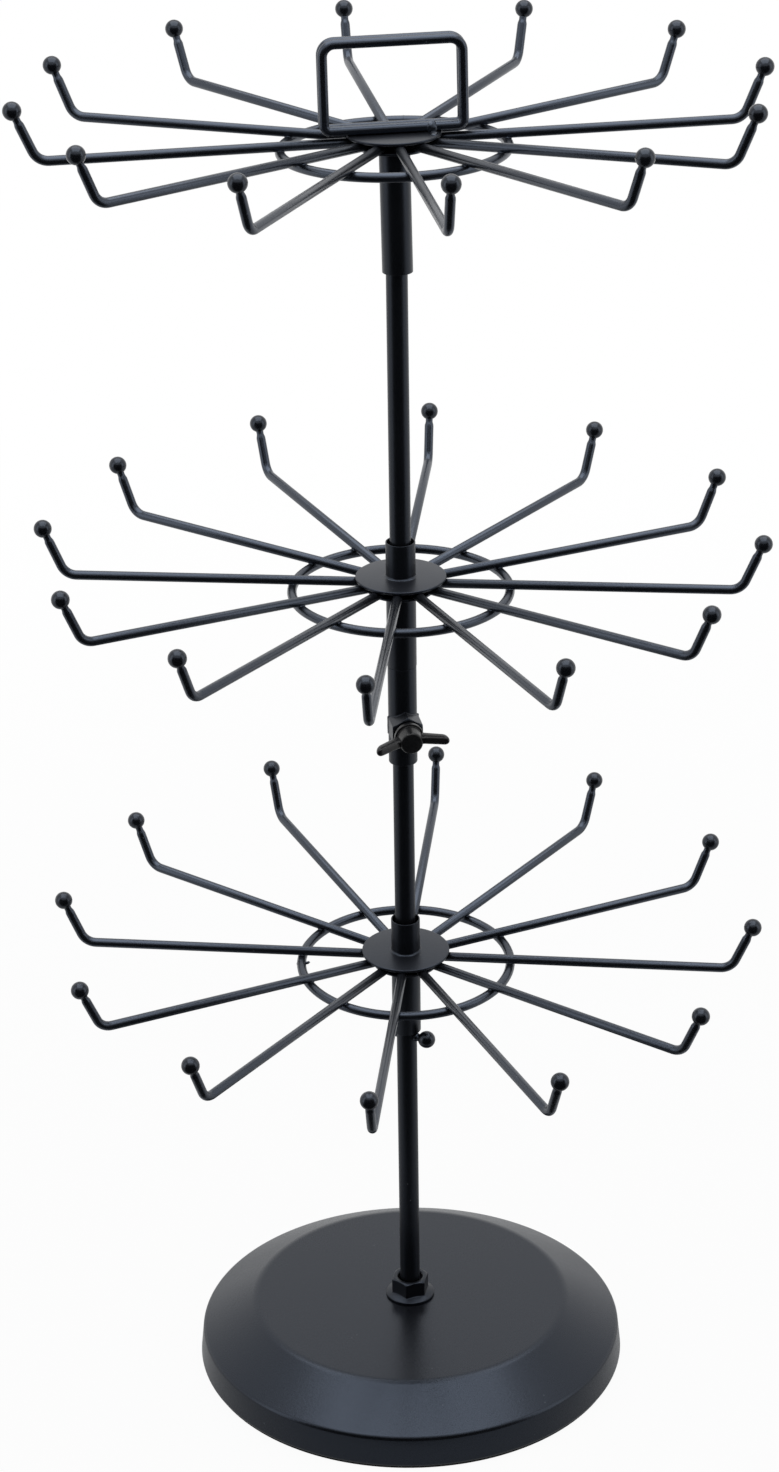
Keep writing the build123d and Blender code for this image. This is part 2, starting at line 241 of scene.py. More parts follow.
COAT_TINT, ENAMEL_TINT = (0.65, 0.77, 1.0), (0.72, 0.82, 1.0)
SPECK_GREY = (0.20, 0.21, 0.23)


def material(name):
    """A new material and the graph that its nodes are built in."""
    made = bpy.data.materials.new(name)
    made.use_nodes = True
    return made, Graph(made.node_tree)


def powder_coat(name, tone, sheen_tone, roughness, peel, specular):
    """Baked satin black powder coat: orange peel, slow drift in gloss, a few pale specks."""
    made, g = material(name)
    drift = g.noise(22, 3)
    streak = g.noise(160, 2, 0.6)
    orange_peel = g.noise(900, 1.5)
    grain = g.noise(3200)
    speck = 1 - g.cells(230).above(0.055, 0.03)
    rare = g.noise(41, 0).above(0.60, 0.05)
    specks = speck * rare
    colour = g.mix(drift * 0.6 + streak * 0.3, tone, sheen_tone)
    colour = g.mix(specks * 0.35, colour, SPECK_GREY)
    gloss = roughness - 0.05 + drift * 0.07 + grain * 0.05 + specks * 0.2
    relief = g.bump(orange_peel * 0.8 + grain * 0.2 + specks * 0.3, peel, 0.6)
    g.skin(colour, gloss, specular, relief, COAT_TINT)
    return made


def dipped_enamel(name):
    """Glossier black on the balls, thicker and smoother than the wire's coat."""
    made, g = material(name)
    drift = g.noise(140)
    ripple = g.noise(700, 1)
    colour = g.mix(drift, (0.0035, 0.0038, 0.0050), (0.0075, 0.0080, 0.0100))
    g.skin(colour, 0.20 + drift * 0.08, 0.48, g.bump(ripple, 0.00004, 0.5), ENAMEL_TINT)
    return made


def moulded_black(name):
    """Black moulded plastic with a fine spark-eroded grain."""
    made, g = material(name)
    drift = g.noise(120)
    grain = g.noise(5200)
    colour = g.mix(drift, (0.0045, 0.0045, 0.0055), (0.0100, 0.0100, 0.0115))
    g.skin(colour, 0.26 + grain * 0.12, 0.40, g.bump(grain, 0.00002, 0.5))
    return made


def foam_rubber(name):
    """Charcoal non-slip foam under the base."""
    made, g = material(name)
    pores = g.cells(1500)
    drift = g.noise(60)
    colour = g.mix(drift, (0.018, 0.018, 0.019), (0.034, 0.034, 0.035))
    g.skin(colour, 0.80 + drift * 0.15, 0.25, g.bump(pores, 0.0002, 0.8))
    return made


WIRE_COAT = powder_coat(
    "satin_coat_on_wire", (0.0042, 0.0045, 0.0056), (0.0090, 0.0097, 0.0118),
    roughness=0.27, peel=0.00005, specular=0.80)
TUBE_COAT = powder_coat(
    "satin_coat_on_tube", (0.0030, 0.0032, 0.0040), (0.0068, 0.0072, 0.0086),
    roughness=0.34, peel=0.00005, specular=0.36)
DISC_COAT = powder_coat(
    "satin_coat_on_discs", (0.0048, 0.0051, 0.0064), (0.0105, 0.0112, 0.0137),
    roughness=0.32, peel=0.00005, specular=0.46)
BASE_COAT = powder_coat(
    "satin_coat_on_base", (0.0030, 0.0032, 0.0040), (0.0058, 0.0062, 0.0077),
    roughness=0.26, peel=0.00006, specular=0.45)
BALL_ENAMEL = dipped_enamel("gloss_enamel_on_balls")
HEAD_PLASTIC = moulded_black("moulded_black_head")
PAD_RUBBER = foam_rubber("foam_rubber_pad")


# ----------------------------------------------------------------- mesh making
# A shape is a pair: its points, and its faces as numbers of those points.
BEND_STEPS, CREASE = 10, 48


def solid_mesh(name, shape, finish, place):
    """Mesh of a closed shape, in metres, with its faces turned outwards."""
    points, faces = shape
    mesh = bpy.data.meshes.new(name)
    mesh.from_pydata([(place @ Vector(p)) * MM for p in points], [], faces)
    solid = bmesh.new()
    solid.from_mesh(mesh)
    bmesh.ops.remove_doubles(solid, verts=solid.verts, dist=1e-7)
    bmesh.ops.recalc_face_normals(solid, faces=solid.faces)
    solid.to_mesh(mesh)
    solid.free()
    mesh.materials.append(finish)
    return mesh


def shade(made, crease):
    """Smooth faces, with an edge kept sharp where they meet at more than the crease."""
    made.data.shade_smooth()
    made.data.set_sharp_from_angle(angle=radians(crease))


def piece(name, shape, finish, body, stands_for=(),
          place=Matrix.Identity(4)):
    """A mesh object on a body, in place of the named nodes of the frame."""
    made = linked(name, solid_mesh(name, shape, finish, place))
    shade(made, CREASE)
    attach(made, body)
    if stands_for:
        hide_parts(*stands_for)
    return made


def even_shading(made):
    """Keeps flat faces flat beside their rounded edges."""
    modifier = made.modifiers.new("even_shading", "WEIGHTED_NORMAL")
    modifier.keep_sharp = True
    modifier.weight = 80


def band(first, second, width):
    """Faces between two rows of points, each given by its first point's number."""
    return [
        (first + j, first + (j + 1) % width, second + (j + 1) % width, second + j)
        for j in range(width)
    ]


def cap(first, width):
    """One face over a row of points."""
    return tuple(range(first, first + width))


def arc(corner, before, after, radius, steps):
    """Points and directions round one bend of a line."""
    into, out = (corner - before).normalized(), (after - corner).normalized()
    angle = into.angle(out)
    inwards = (out - into * into.dot(out)).normalized()
    start = corner - into * radius * tan(angle / 2)
    turns = [angle * i / steps for i in range(steps + 1)]
    return [
        (start + into * radius * sin(a) + inwards * radius * (1 - cos(a)),
         into * cos(a) + inwards * sin(a))
        for a in turns
    ]


def bent_line(corners, bends, closed=False):
    """Points and directions along straight runs, with a bend radius for each corner."""
    corners = [Vector(c) for c in corners]
    count = len(corners)
    line = []
    for i, corner in enumerate(corners):
        if closed or 0 < i < count - 1:
            line += arc(corner, corners[i - 1], corners[(i + 1) % count], bends[i], BEND_STEPS)
        else:
            ahead = corners[1] - corners[0] if i == 0 else corner - corners[-2]
            line.append((corner, ahead.normalized()))
    return line


def swept(line, side, sides, radii=None, closed=False):
    """Round wire along a flat line; side is square to the line's plane."""
    side = Vector(side)
    points, faces = [], []
    for i, (point, ahead) in enumerate(line):
        lift = side.cross(ahead).normalized()
        radius = radii[i] if radii else WIRE / 2
        for j in range(sides):
            turn = 2 * pi * j / sides
            points.append(point + (side * cos(turn) + lift * sin(turn)) * radius)
    count = len(line)
    for i in range(count if closed else count - 1):
        faces += band(i * sides, (i + 1) % count * sides, sides)
    if not closed:
        faces += [cap(0, sides), cap((count - 1) * sides, sides)]
    return points, faces


def eased(*corners, steps=4):
    """Outline whose corners (radius, height, easing) are rounded."""
    flat = [Vector((c[0], c[1], 0)) for c in corners]
    outline = []
    for i, corner in enumerate(corners):
        easing = corner[2] if len(corner) > 2 else 0
        if easing:
            bend = arc(flat[i], flat[i - 1], flat[(i + 1) % len(flat)], easing, steps)
            outline += [(p.x, p.y) for p, _ in bend]
        else:
            outline.append((corner[0], corner[1]))
    return outline


def at(value, azimuth):
    """A radius or height that may vary with azimuth."""
    return value(azimuth) if callable(value) else value


def turned(outline, turns):
    """Closed outline turned about Z, in a number of turns or at a list of azimuths."""
    azimuths = turns if isinstance(turns, list) else [2 * pi * j / turns for j in range(turns)]
    points, faces = [], []
    for radius, height in outline:
        for a in azimuths:
            r = max(at(radius, a), 0)
            points.append((r * cos(a), r * sin(a), at(height, a)))
    rows, width = len(outline), len(azimuths)
    for i in range(rows):
        after = (i + 1) % rows
        on_axis = outline[i][0] == 0 and outline[after][0] == 0
        if not on_axis:
            faces += band(i * width, after * width, width)
    return points, faces


def joined(*shapes):
    """Several shapes as one."""
    points, faces = [], []
    for more_points, more_faces in shapes:
        shift = len(points)
        points += more_points
        faces += [tuple(i + shift for i in face) for face in more_faces]
    return points, faces


def moved(shape, place):
    """The same shape in another place."""
    points, faces = shape
    return [place @ Vector(p) for p in points], faces


def turn_z(azimuth):
    return Matrix.Rotation(radians(azimuth), 4, "Z")


def along_azimuth(azimuth, height):
    """Place on the axis whose Z points outwards along an azimuth and X points up."""
    a = radians(azimuth)
    across = Matrix(((0, sin(a), cos(a)), (0, -cos(a), sin(a)), (1, 0, 0))).to_4x4()
    return Matrix.Translation((0, 0, height)) @ across


def wavering(radius, swell, waves, seed):
    """A radius with an uneven swelling over it, as weld or pooled coat has."""
    def radius_at(azimuth):
        spot = Vector((cos(azimuth) * waves, sin(azimuth) * waves, seed))
        return at(radius, azimuth) + swell * (1 + 0.5 * noise.noise(spot))
    return radius_at


def lump(size, place, seed, unevenness, turns=18, rows=12):
    """Small uneven weld lump, an ellipsoid with a wavering skin."""
    outline = [(sin(pi * i / rows), -cos(pi * i / rows)) for i in range(rows + 1)]
    points, faces = turned(outline[1:-1], turns)
    faces = faces[:-turns] + [cap(0, turns), cap((rows - 2) * turns, turns)]
    length, width, height = size
    made = []
    for p in points:
        p = Vector(p)
        swell = 1 + unevenness * noise.noise(p * 1.7 + Vector((seed, seed * 0.7, 0)))
        made.append(place @ Vector((p.x * length * swell, p.y * width * swell, p.z * height * swell)))
    return made, faces


def threaded(radius, groove, pitch, start, end, turns, rows_per_pitch=6):
    """Screw thread along Z, from start to end, as a closed solid."""
    rows = int((end - start) / pitch * rows_per_pitch)

    def flank(height):
        """Radius on a thread with a narrow flat crest, sloping sides and a flat root."""
        def radius_at(azimuth):
            from_crest = abs(((height - start) / pitch - azimuth / (2 * pi)) % 1 - 0.5)
            return radius - groove * min(1, max(0, from_crest * 3 - 0.25))
        return radius_at

    levels = [start + (end - start) * i / rows for i in range(rows + 1)]
    outline = [(0, start), (radius - groove, start)]
    outline += [(flank(z), z) for z in levels[1:-1]]
    outline += [(radius - groove, end), (0, end)]
    return turned(outline, turns)


def hex_radius_at(across_flats, offset):
    """Hexagon radius at an azimuth, with corners at offset, worn a little."""
    limit = across_flats / sqrt(3) * WORN_CORNERS

    def radius(azimuth):
        from_corner = (azimuth - radians(offset)) % (pi / 3)
        return min(across_flats / 2 / cos(from_corner - pi / 6), limit)

    return radius


def hex_azimuths(offset):
    """Azimuths round a hexagon, close together at its corners."""
    spread = [-20, -12, -7, -4.2, -2.8, -1.4, 0, 1.4, 2.8, 4.2, 7, 12, 20, 30]
    return sorted(radians(offset + 60 * k + s) for k in range(6) for s in spread)


def nut_end(hexagon, across_flats, top, edge, bore, countersink):
    """Outline over a nut's end, from its flats, over their cut corners, into its bore."""
    flat = across_flats / 2

    def on_chamfer(inwards, down):
        return (lambda a: hexagon(a) - inwards,
                lambda a: top - (hexagon(a) - flat) * CHAMFER_SLOPE - down)

    return [
        on_chamfer(0, edge), on_chamfer(0.10, 0.08), (flat - 0.25, top - 0.02), (flat - 0.6, top),
        (bore + countersink + 0.15, top), (bore + countersink, top - 0.08), (bore, top - countersink),
    ]


# ------------------------------------------------------------------------ base
def base_shell():
    shoulder = BASE_RADIUS - SKIRT_DRAFT
    shoulder_height = PAD_THICKNESS + SKIRT_HEIGHT
    hole = THREAD / 2 + THREAD_FIT
    hole_end = CROWN_HEIGHT - HOLE_DEPTH
    under_nut = NUT_FLANGE / 2 - 1  # a hidden ring that keeps the crown's shading flat
    outline = eased(
        (hole, hole_end),
        (0, hole_end),
        (0, PAD_THICKNESS),
        (BASE_RADIUS, PAD_THICKNESS, FOOT_EASING),
        (shoulder, shoulder_height, SHOULDER_EASING),
        (CROWN_RADIUS, CROWN_HEIGHT, CROWN_EASING),
        (under_nut, CROWN_HEIGHT),
        (hole + HOLE_CHAMFER, CROWN_HEIGHT),
        (hole, CROWN_HEIGHT - HOLE_CHAMFER),
        steps=8,
    )
    piece("weighted_base_shell", turned(outline, 240), BASE_COAT, "stand", ["base_body"])


def base_foot_pad():
    radius = BASE_RADIUS - PAD_INSET
    outline = eased(
        (0, 0), (radius, 0, PAD_EASING), (radius, PAD_THICKNESS), (0, PAD_THICKNESS), steps=3)
    piece("non_slip_pad", turned(outline, 160), PAD_RUBBER, "stand", ["base_pad"])


def flange_nut():
    hexagon = hex_radius_at(NUT_ACROSS_FLATS, NUT_AZIMUTH)
    bore = THREAD / 2 + THREAD_FIT
    flange = NUT_FLANGE / 2
    slope = tan(radians(NUT_FLANGE_SLOPE))
    low = CROWN_HEIGHT
    edge = low + NUT_FLANGE_EDGE

    def on_slope(outwards, rise):
        return (lambda a: hexagon(a) + outwards,
                lambda a: edge + (flange - hexagon(a) - outwards) * slope + rise)

    # The flange's rounded rim, low and high, and its slope up into the hexagon's foot.
    outline = [
        (bore, low), (flange - 0.5, low), (flange - 0.15, low + 0.12), (flange, low + 0.45),
        (flange, edge - 0.25), (flange - 0.12, edge - 0.05), (flange - 0.4, edge + 0.1),
        on_slope(0.45, 0), on_slope(0.12, 0.06), on_slope(0, 0.35),
    ]
    outline += nut_end(hexagon, NUT_ACROSS_FLATS, low + NUT_HEIGHT, 0.28, bore, NUT_COUNTERSINK)
    nut = turned(outline, hex_azimuths(NUT_AZIMUTH))
    even_shading(piece("post_flange_nut", nut, TUBE_COAT, "stand", ["base_flange_nut"]))


def round_post():
    """Threaded foot in the base, and the rod whose crowned end carries the top tier."""
    foot = CROWN_HEIGHT - HOLE_DEPTH + BEARING_GAP
    thread_end = CROWN_HEIGHT + NUT_HEIGHT - 2 * NUT_COUNTERSINK
    thread = threaded(THREAD / 2, THREAD_GROOVE, THREAD_PITCH, foot, thread_end, 40)
    rod_start = thread_end - ROD_IN_THREAD
    radius = POST / 2
    rod = turned(eased(
        (0, rod_start), (radius, rod_start), (radius, POST_END - BEARING_RISE, 0.4),
        (BEARING_RADIUS, POST_END, 0.5), (0, POST_END)), 72)
    piece("centre_post", joined(thread, rod), TUBE_COAT, "stand", ["post"])


# ----------------------------------------------------------------------- tiers
def hook_wire():
    """Arm, bend and leg up into the ball, where the wire narrows to a neck."""
    lean = radians(HOOK_ANGLE)
    apex = BALL_CIRCLE_RADIUS - HOOK_RISE / tan(lean)
    up_leg = Vector((cos(lean), 0, sin(lean)))
    centre = Vector((BALL_CIRCLE_RADIUS, 0, HOOK_RISE))
    line = bent_line([(ARM_START, 0, 0), (apex, 0, 0), centre], [HOOK_BEND] * 3)[:-1]
    radii = [WIRE / 2] * len(line)
    for before_ball, radius in NECK:
        line.append((centre - up_leg * (BALL / 2 + before_ball), up_leg))
        radii.append(radius)
    first, ahead = line[0]
    line = [(first, ahead), (first + ahead * WIRE_END_EASING, ahead)] + line[1:]
    radii = [WIRE / 2 - WIRE_END_EASING, WIRE / 2] + radii[1:]
    return swept(line, (0, 1, 0), 24, radii)


def round_ball():
    radius, rows = BALL / 2, 20
    outline = [(radius * sin(pi * i / rows), -radius * cos(pi * i / rows)) for i in range(rows + 1)]
    outline[0], outline[-1] = (0, -radius), (0, radius)
    return turned(outline, 32)


def round_disc(diameter, low, opening):
    half, inner, high = diameter / 2, opening / 2, low + DISC_THICKNESS
    return turned(eased(
        (inner, low), (half, low, DISC_LOW_EDGE), (half, high, DISC_HIGH_EDGE), (inner, high)), 96)


def open_tube(outer, inner, low, high, easing):
    return turned(eased(
        (inner, low, easing), (outer, low, easing), (outer, high, easing), (inner, high, easing),
        steps=3), 72)


def fillet_ring(radius, height, size, seed):
    """Coat pooled over the weld at the foot of a sleeve."""
    def pooled(share):
        return wavering(radius, share * size, 2.3, seed)

    outline = [
        (radius - 0.2, height - 0.1),
        (pooled(1), height - 0.02),
        (pooled(0.45), height + size * 0.28),
        (pooled(0.12), height + size * 0.7),
        (radius + 0.01, height + size),
        (radius - 0.2, height + size),
    ]
    return turned(outline, 72)


def tier_pose(name):
    """Level, or tipped about the middle of its sleeve until the sleeve meets the post."""
    if name not in LEANS_TOWARDS:
        return Matrix.Identity(4)
    pivot = SLEEVE_END[name] + SLEEVE_LENGTH / 2
    lift = SEAT_RADIUS[name] * sin(LEAN)
    towards = LEANS_TOWARDS[name]
    tip = turn_z(towards) @ Matrix.Rotation(LEAN, 4, "Y") @ turn_z(-towards)
    return Matrix.Translation((0, 0, pivot + lift)) @ tip @ Matrix.Translation((0, 0, -pivot))


def tier_ring(name, azimuths):
    """Ring under the arms, open at its joint, with its welds: one to an arm, one at the joint."""
    radius, drop = RING / 2, WIRE - RING_SET_DOWN
    gap = degrees(RING_JOINT_GAP / 2 / radius)
    joint = RING_JOINT[name]
    turn = 360 - 2 * gap
    steps = [radians(joint + gap + turn * i / RING_STEPS) for i in range(RING_STEPS + 1)]
    circle = [
        (Vector((radius * cos(a), radius * sin(a), -drop)), Vector((-sin(a), cos(a), 0)))
        for a in steps
    ]
    seed = ARM_HEIGHTS[name]
    welds = []
    for i, a in enumerate(azimuths):
        spot = turn_z(a) @ Matrix.Translation((radius, 0, -drop / 2 + ARM_WELD_RISE))
        welds.append(lump(ARM_WELD, spot, i * 3.1 + seed, 0.18))
    at_joint = turn_z(joint) @ Matrix.Translation((radius, 0, -drop))
    rough = name == "bottom"
    welds.append(lump(BURR, at_joint, seed, 0.22 if rough else 0.05))
    if rough:
        beside = at_joint @ Matrix.Translation(SPIKE_PLACE) @ Matrix.Rotation(SPIKE_TIP, 4, "Y")
        welds.append(lump(SPIKE, beside, seed + 9, 0.3))
    return joined(swept(circle, (0, 0, 1), 24), *welds)


def build_tier(name):
    body = name + "_tier"
    height = ARM_HEIGHTS[name]
    pose = tier_pose(name)
    lift = Matrix.Translation((0, 0, height))
    azimuths = [FIRST_HOOK[name] + 360 / HOOKS * k for k in range(HOOKS)]

    hook = hook_wire()
    wires = joined(*[moved(hook, lift @ turn_z(a)) for a in azimuths])
    piece(name + "_hook_wires", wires, WIRE_COAT, body, [name + "_hooks"], place=pose)

    ball_centre = Matrix.Translation((BALL_CIRCLE_RADIUS, 0, HOOK_RISE))
    up_leg = ball_centre @ Matrix.Rotation(pi / 2 - radians(HOOK_ANGLE), 4, "Y")
    balls = joined(*[moved(round_ball(), lift @ turn_z(a) @ up_leg) for a in azimuths])
    piece(name + "_hook_balls", balls, BALL_ENAMEL, body, [name + "_ball_tips"],
          place=pose)

    ring = moved(tier_ring(name, azimuths), lift)
    piece(name + "_wire_ring", ring, WIRE_COAT, body, [name + "_ring"], place=pose)

    disc_low = height + WIRE / 2
    if name == "top":
        hub = round_disc(TOP_DISC, disc_low, 0)
    else:
        pooled = fillet_ring(SLEEVE / 2, disc_low + DISC_THICKNESS, SLEEVE_FILLET, height)
        hub = joined(round_disc(TOP_DISC, disc_low, SLEEVE), pooled)
    piece(name + "_hub_disc", hub, DISC_COAT, body, [name + "_top_plate"], place=pose)
    under = round_disc(UNDER_DISC, height - WIRE / 2 - DISC_THICKNESS, SLEEVE)
    piece(name + "_under_disc", under, DISC_COAT, body, [name + "_lower_plate"], place=pose)

    low = SLEEVE_END[name]
    sleeve = open_tube(SLEEVE / 2, SLEEVE / 2 - SLEEVE_WALL, low, low + SLEEVE_LENGTH, SLEEVE_EASING)
    piece(name + "_turning_sleeve", sleeve, TUBE_COAT, body, [name + "_sleeve"], place=pose)


def carrying_handle():
    """Two closed wire loops side by side, standing on the top disc."""
    half = HANDLE_WIDTH / 2
    low = ARM_HEIGHTS["top"] + DISC_TOP + WIRE / 2
    high = low + HANDLE_HEIGHT
    bends = [HANDLE_FOOT_BEND] * 2 + [HANDLE_BEND] * 2
    place = tier_pose("top") @ turn_z(HANDLE_AZIMUTH)
    for side, name in ((-1, "front"), (1, "rear")):
        offset = side * (WIRE + HANDLE_LOOP_GAP) / 2
        corners = [(-half, offset, low), (half, offset, low), (half, offset, high), (-half, offset, high)]
        shape = swept(bent_line(corners, bends, closed=True), (0, 1, 0), 28, closed=True)
        if name == "front":
            bar = Matrix.Translation((0, offset, low))
            on_wire = bar @ Matrix.Translation(WIRE_LUMP_PLACE) @ Matrix.Rotation(WIRE_LUMP_TIP, 4, "X")
            on_disc = bar @ Matrix.Translation(DISC_LUMP_PLACE) @ turn_z(DISC_LUMP_TURN)
            shape = joined(
                shape,
                lump(WIRE_LUMP, on_wire, 5.0, 0.15, 28, 18),
                lump(DISC_LUMP, on_disc, 7.0, 0.15, 28, 18),
            )
        piece("handle_" + name + "_wire", moved(shape, place), WIRE_COAT, "top_tier",
              ["handle_" + name + "_loop"])


# ------------------------------------------------------- height collar and clamp
SCREW_FRAME = along_azimuth(CLAMP_AZIMUTH, COLLAR_BOTTOM + SCREW_HEIGHT)


def sliding_collar():
    tube = open_tube(COLLAR / 2, POST / 2 + POST_FIT, COLLAR_BOTTOM, COLLAR_TOP, COLLAR_EASING)
    piece("sliding_collar", tube, TUBE_COAT, "height_collar", ["height_collar"])


def on_collar(distance, sink):
    """Height of the collar's skin at a distance from the screw's axis, less a sink."""
    def height(azimuth):
        across = at(distance, azimuth) * sin(azimuth)
        return sqrt(max((COLLAR / 2) ** 2 - across ** 2, 0.5)) - sink
    return height


def weld_nut():
    """Hexagon nut with its back saddled on the collar."""
    hexagon = hex_radius_at(WELD_NUT, 0)
    bore = SCREW / 2 + SCREW_FIT
    outline = [(bore, on_collar(bore, 0)), (hexagon, on_collar(hexagon, 0.05))]
    outline += nut_end(hexagon, WELD_NUT, WELD_NUT_FACE, 0.25, bore, WELD_NUT_COUNTERSINK)
    nut = turned(outline, hex_azimuths(0))
    even_shading(piece(
        "clamp_weld_nut", nut, TUBE_COAT, "height_collar", ["collar_weld_nut"], place=SCREW_FRAME))


def weld_bead():
    """Bead of weld between the nut and the collar."""
    hexagon = hex_radius_at(WELD_NUT, 0)
    widest = COLLAR / 2 - 0.15

    def beside_nut(swell, outwards, rise):
        def height(azimuth):
            across = min(abs((hexagon(azimuth) + outwards) * sin(azimuth)), widest)
            return sqrt((COLLAR / 2) ** 2 - across ** 2) + rise
        return wavering(hexagon, swell, 2.1, 4.2), height

    bead = turned([beside_nut(*row) for row in BEAD_ROWS], hex_azimuths(0))
    piece("clamp_nut_weld", bead, TUBE_COAT, "height_collar", place=SCREW_FRAME)


def clamp_screw():
    tip = POST / 2 + CLAMP_GAP
    thread = threaded(SCREW / 2, SCREW_GROOVE, SCREW_PITCH, tip, HEAD_START + SCREW_SEAT, 36)
    piece("clamp_thread", thread, TUBE_COAT, "clamp_screw", ["clamp_screw"], place=SCREW_FRAME)


def wing_bar(side):
    """One swept wing from the boss to its round tip, flat-sided with full edges."""
    half_span = WING_SPAN / 2
    root = HEAD_START + HEAD_LENGTH / 2
    points, faces = [], []
    for i in range(WING_ROWS + 1):
        across = half_span * sin(pi / 2 * i / WING_ROWS)
        sweep = max(0, 1.5 * across / half_span - 0.5)  # begins a third of the way out
        in_tip = max(0, across - half_span + WING_TIP) / WING_TIP
        fullness = max(sqrt(1 - in_tip ** 2), WING_TIP_END)
        wide = WING_THICKNESS / 2 * fullness
        deep = WING_DEPTH * (1 - WING_TAPER * sweep) / 2 * fullness
        for j in range(WING_SIDES):
            c, s = cos(2 * pi * j / WING_SIDES), sin(2 * pi * j / WING_SIDES)
            x = copysign(abs(c) ** WING_SQUARENESS, c) * wide
            z = copysign(abs(s) ** WING_SQUARENESS, s) * deep
            points.append((x, across * side, root + WING_SWEEP * sweep + z))
    for i in range(WING_ROWS):
        faces += band(i * WING_SIDES, (i + 1) * WING_SIDES, WING_SIDES)
    faces += [cap(0, WING_SIDES), cap(WING_ROWS * WING_SIDES, WING_SIDES)]
    return points, faces


def wing_head():
    """Boss and wings fused as one moulding, its edges eased."""
    back, front = HEAD_BACK / 2, HEAD_FRONT / 2
    start, end = HEAD_START, HEAD_START + HEAD_LENGTH
    step = start + HEAD_COLLAR
    seat, seat_end = SCREW / 2 + SCREW_FIT, start + SCREW_SEAT + SCREW_FIT
    boss = turned(eased(
        (seat, start), (back, start, 0.4), (back, step, 0.3), (back - HEAD_STEP, step + 0.15, 0.2),
        (front + 0.35, end - 0.8, HEAD_FRONT_EASING), (0, end + HEAD_DOME),
        (0, seat_end), (seat, seat_end)), 56)
    place = SCREW_FRAME @ turn_z(WING_TURN)
    made = piece(
        "wing_screw_head", boss, HEAD_PLASTIC, "wing_head", ["wing_head"], place=place)
    for side in (-1, 1):
        wing = linked("wing", solid_mesh("wing", wing_bar(side), HEAD_PLASTIC, place))
        union = made.modifiers.new("fuse", "BOOLEAN")
        union.operation, union.object, union.solver = "UNION", wing, "EXACT"
        bpy.context.view_layer.update()
        evaluated = made.evaluated_get(bpy.context.evaluated_depsgraph_get())
        fused = bpy.data.meshes.new_from_object(evaluated)
        made.modifiers.clear()
        made.data = fused
        bpy.data.objects.remove(wing)
    shade(made, HEAD_CREASE)
    even_shading(made)


# -------------------------------------------------------------------- stop pin
PIN_FRAME = along_azimuth(PIN_AZIMUTH, PIN_HEIGHT)


def stop_pin():
    """Rod with a necked end that carries the ball."""
    radius = PIN / 2
    neck = radius - PIN_NECK_DEPTH
    reach = PIN_BALL_REACH - BALL / 2
    end = reach + PIN_IN_BALL
    rod = turned(eased(
        (0, -PIN_TAIL_REACH), (radius, -PIN_TAIL_REACH, PIN_TAIL_EASING), (radius, reach - 0.9, 0.4),
        (neck, reach - 0.4, 0.2), (neck, end), (0, end)), 32)
    piece("tier_stop_pin", rod, WIRE_COAT, "stop_pin", ["stop_pin"], place=PIN_FRAME)
    ball = moved(round_ball(), Matrix.Translation((0, 0, PIN_BALL_REACH)))
    piece("stop_pin_knob", ball, BALL_ENAMEL, "stop_pin", ["stop_pin_ball"],
          place=PIN_FRAME)


# ----------------------------------------------------------------------- studio
# Sizes here are metres.
FLOOR_RADIUS, FLOOR_SIDES, FLOOR_GREY = 3.2, 64, 0.68
# The floor's pure white near the stand, as a share; it becomes all white over the fade.
SEEN_WHITE, MIRRORED_WHITE, FLOOR_FADE_START, FLOOR_FADE = 0.95, 0.15, 0.25, 1.0
CARD_GREY, CARD_SPREAD, CARD_STEPS = 0.02, 60, 12
CARD_NEAR, CARD_FLARE, CARD_FAR, CARD_LOW, CARD_TOP = 0.125, 0.13, 1.35, 0.004, 1.15
ROOM_LIGHT = 0.16
LAMP_TINT, LAMP_TARGET = (0.96, 0.98, 1.0), (0, 0, 0.35)
# Each lamp's name, place, width, height and watts.
LAMPS = [
    ("soft_box_above", (0.0, 0.10, 2.2), 2.4, 2.4, 42),
    ("soft_box_left", (-1.7, -0.5, 0.9), 0.7, 1.6, 3.5),
    ("soft_box_right", (1.7, -0.4, 0.9), 0.7, 1.6, 3.5),
]


def light_path(g, *rays):
    """1 for any of the named kinds of ray."""
    kinds = [g.node("LightPath", output="Is " + ray + " Ray") for ray in rays]
    total = kinds[0]
    for kind in kinds[1:]:
        total = total + kind
    return g.node("Clamp", {}, {"Value": total})


def staged(name, points, faces, finish):
    """A thing of the studio, which isn't part of the stand."""
    mesh = bpy.data.meshes.new(name)
    mesh.from_pydata(points, [], faces)
    mesh.materials.append(finish)
    made = linked(name, mesh)
    return made


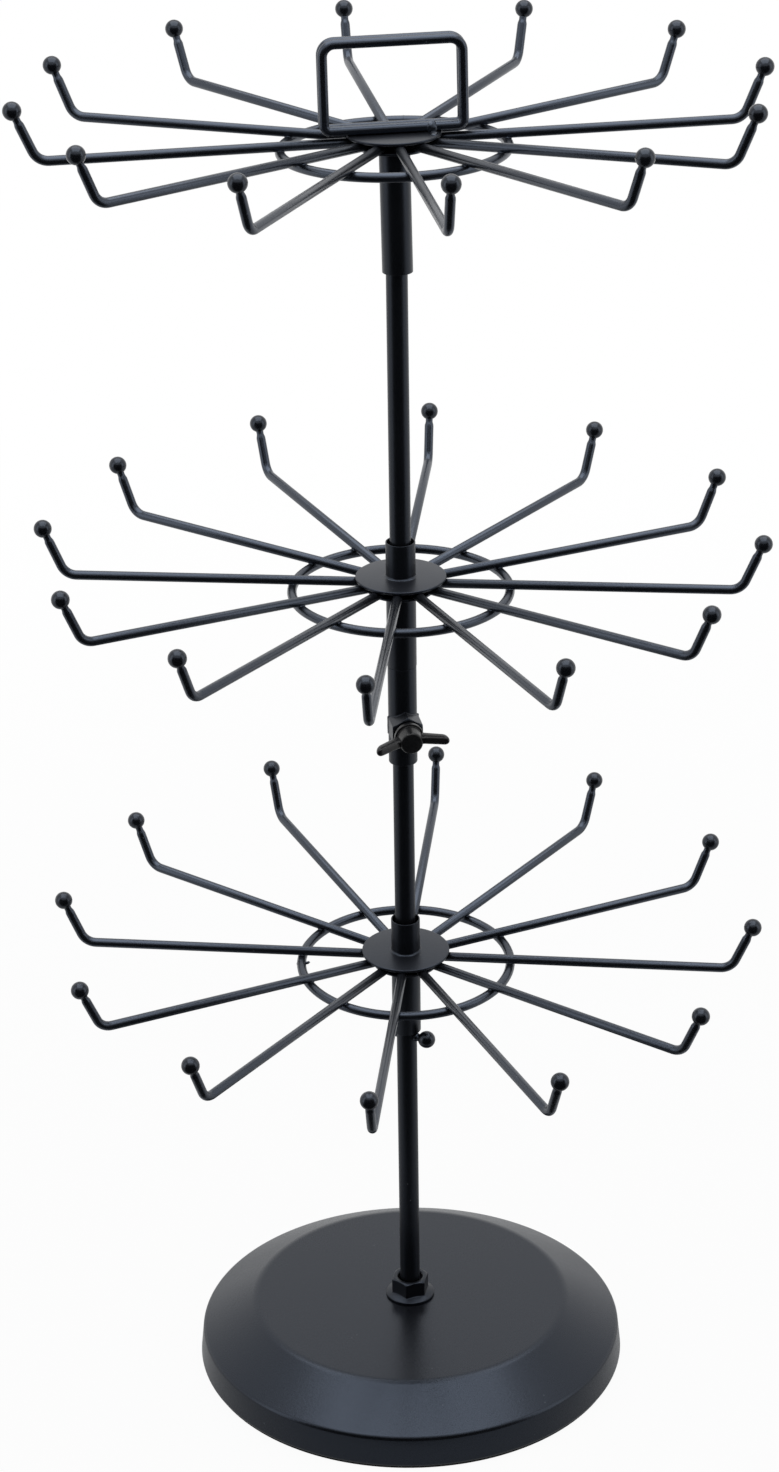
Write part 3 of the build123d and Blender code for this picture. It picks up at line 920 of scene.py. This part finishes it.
def white_floor():
    """Pale round floor, white where it is seen, with the stand's faint shadow."""
    made, g = material("pale_floor")
    away = g.node("VectorMath", {"operation": "LENGTH"}, {0: g.place()}, output="Value")
    faded = away.above(FLOOR_FADE_START, FLOOR_FADE)
    painted = g.node("BsdfDiffuse", {}, {"Color": (FLOOR_GREY, FLOOR_GREY, FLOOR_GREY, 1)})
    white = g.node("Emission", {}, {"Color": (1, 1, 1, 1), "Strength": 1.0})
    direct = light_path(g, "Camera") * (SEEN_WHITE + (1 - SEEN_WHITE) * faded)
    mirrored = light_path(g, "Glossy", "Transmission") * (MIRRORED_WHITE + (1 - MIRRORED_WHITE) * faded)
    share = g.node("Clamp", {}, {"Value": direct + mirrored})
    g.finish("OutputMaterial", g.node("MixShader", {}, {0: share, 1: painted, 2: white}))
    azimuths = [2 * pi * j / FLOOR_SIDES for j in range(FLOOR_SIDES)]
    circle = [(FLOOR_RADIUS * cos(a), FLOOR_RADIUS * sin(a), 0) for a in azimuths]
    staged("floor_sweep", circle, [cap(0, FLOOR_SIDES)], made)


def dark_card():
    """Curved black card round the camera's side, which gives gloss its dark core."""
    made, g = material("black_card")
    felt = g.node("BsdfDiffuse", {}, {"Color": (CARD_GREY, CARD_GREY, CARD_GREY, 1)})
    g.finish("OutputMaterial", felt)
    points = []
    for i in range(-CARD_STEPS, CARD_STEPS + 1):
        share = i / CARD_STEPS
        a = radians(-90 + CARD_SPREAD * share)
        near = CARD_NEAR + CARD_FLARE * share ** 2
        for r, z in ((near, CARD_LOW), (CARD_FAR, CARD_LOW), (CARD_FAR, CARD_TOP)):
            points.append((r * cos(a), r * sin(a), z))
    corners = [3 * i + j for i in range(2 * CARD_STEPS) for j in (0, 1)]
    card = staged("dark_card", points, [(c, c + 3, c + 4, c + 1) for c in corners], made)
    card.visible_camera = False
    card.visible_diffuse = False
    card.visible_shadow = False


def studio():
    """White surroundings, a wide soft box above, one at each side and a dark card in front."""
    scene = bpy.context.scene
    scene.view_settings.view_transform = "Standard"
    scene.world = bpy.data.worlds.new("white_studio")
    scene.world.use_nodes = True
    g = Graph(scene.world.node_tree)
    strength = ROOM_LIGHT + light_path(g, "Camera", "Glossy", "Transmission") * (1 - ROOM_LIGHT)
    g.finish("OutputWorld", g.node("Background", {}, {"Color": (1, 1, 1, 1), "Strength": strength}))
    white_floor()
    dark_card()
    for name, spot, width, height, watts in LAMPS:
        data = bpy.data.lights.new(name, "AREA")
        data.shape, data.size, data.size_y = "RECTANGLE", width, height
        data.energy = watts
        data.color = LAMP_TINT
        lamp = linked(name, data)
        lamp.location = spot
        lamp.rotation_euler = (Vector(LAMP_TARGET) - Vector(spot)).to_track_quat("-Z", "Y").to_euler()
        lamp.visible_camera = False


# --------------------------------------------------------------------- assembly
aim_camera()
base_shell()
base_foot_pad()
flange_nut()
round_post()
for tier_name in ("bottom", "middle", "top"):
    build_tier(tier_name)
carrying_handle()
sliding_collar()
weld_nut()
weld_bead()
clamp_screw()
wing_head()
stop_pin()
studio()
